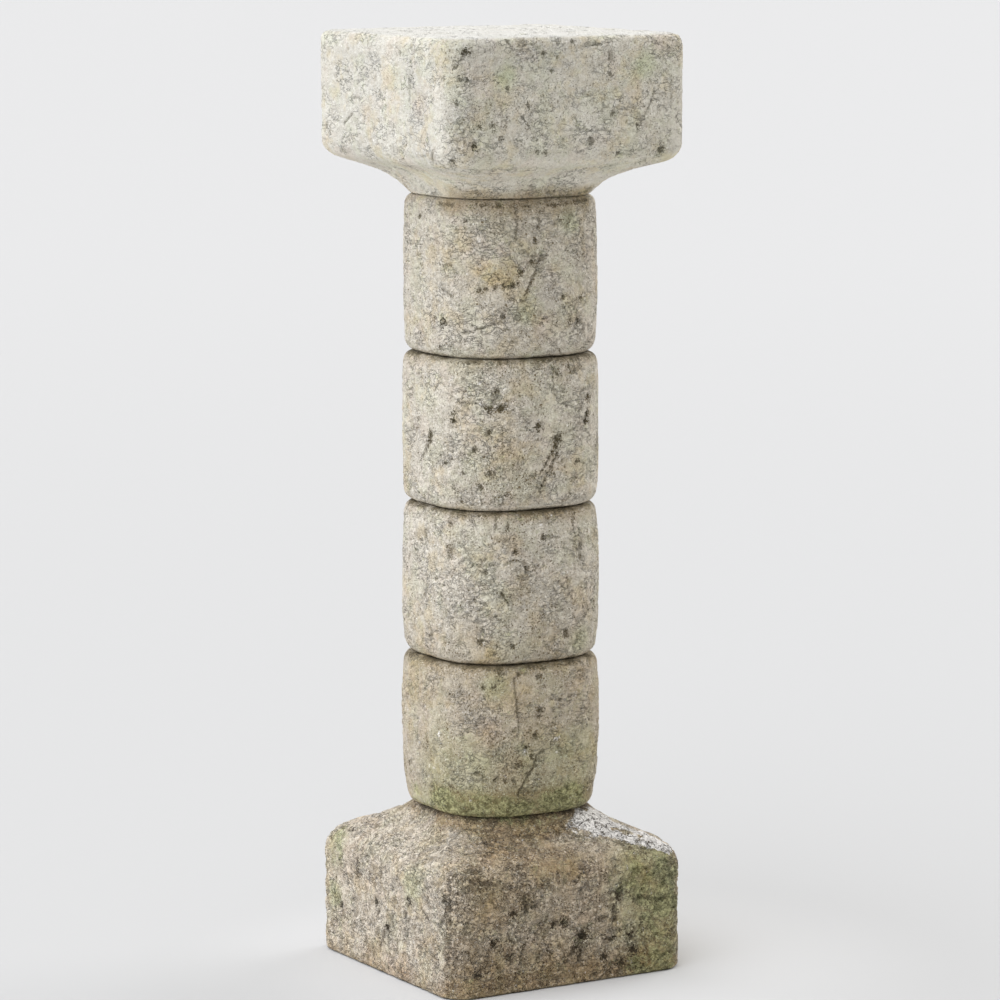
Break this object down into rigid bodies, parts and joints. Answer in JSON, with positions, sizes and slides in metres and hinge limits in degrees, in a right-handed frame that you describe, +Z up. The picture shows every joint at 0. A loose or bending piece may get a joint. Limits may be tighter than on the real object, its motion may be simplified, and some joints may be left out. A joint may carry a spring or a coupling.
{
  "type": "stone column",
  "caption": "Short stone column: square base block with a sloping top, rounded square shaft drums stacked dry, and a square capital block with a flat top.",
  "frame": {"origin": "middle of the base block's underside, on the ground", "axes": "+Z up the column, X and Y square to the sides of the base and capital"},
  "size_m": [0.586, 0.586, 2],
  "materials": {
    "pale_limestone": "rough, open-grained and pitted, weathered cream to pale grey",
    "weathered_limestone": "rough and pitted, darkened by damp, with moss"
  },
  "bodies": {
    "root": {"base_block": "weathered_limestone", "shaft_drum_1": "pale_limestone", "shaft_drum_2": "pale_limestone", "shaft_drum_3": "pale_limestone", "shaft_drum_4": "pale_limestone", "capital_block": "pale_limestone"}
  },
  "joints": []
}
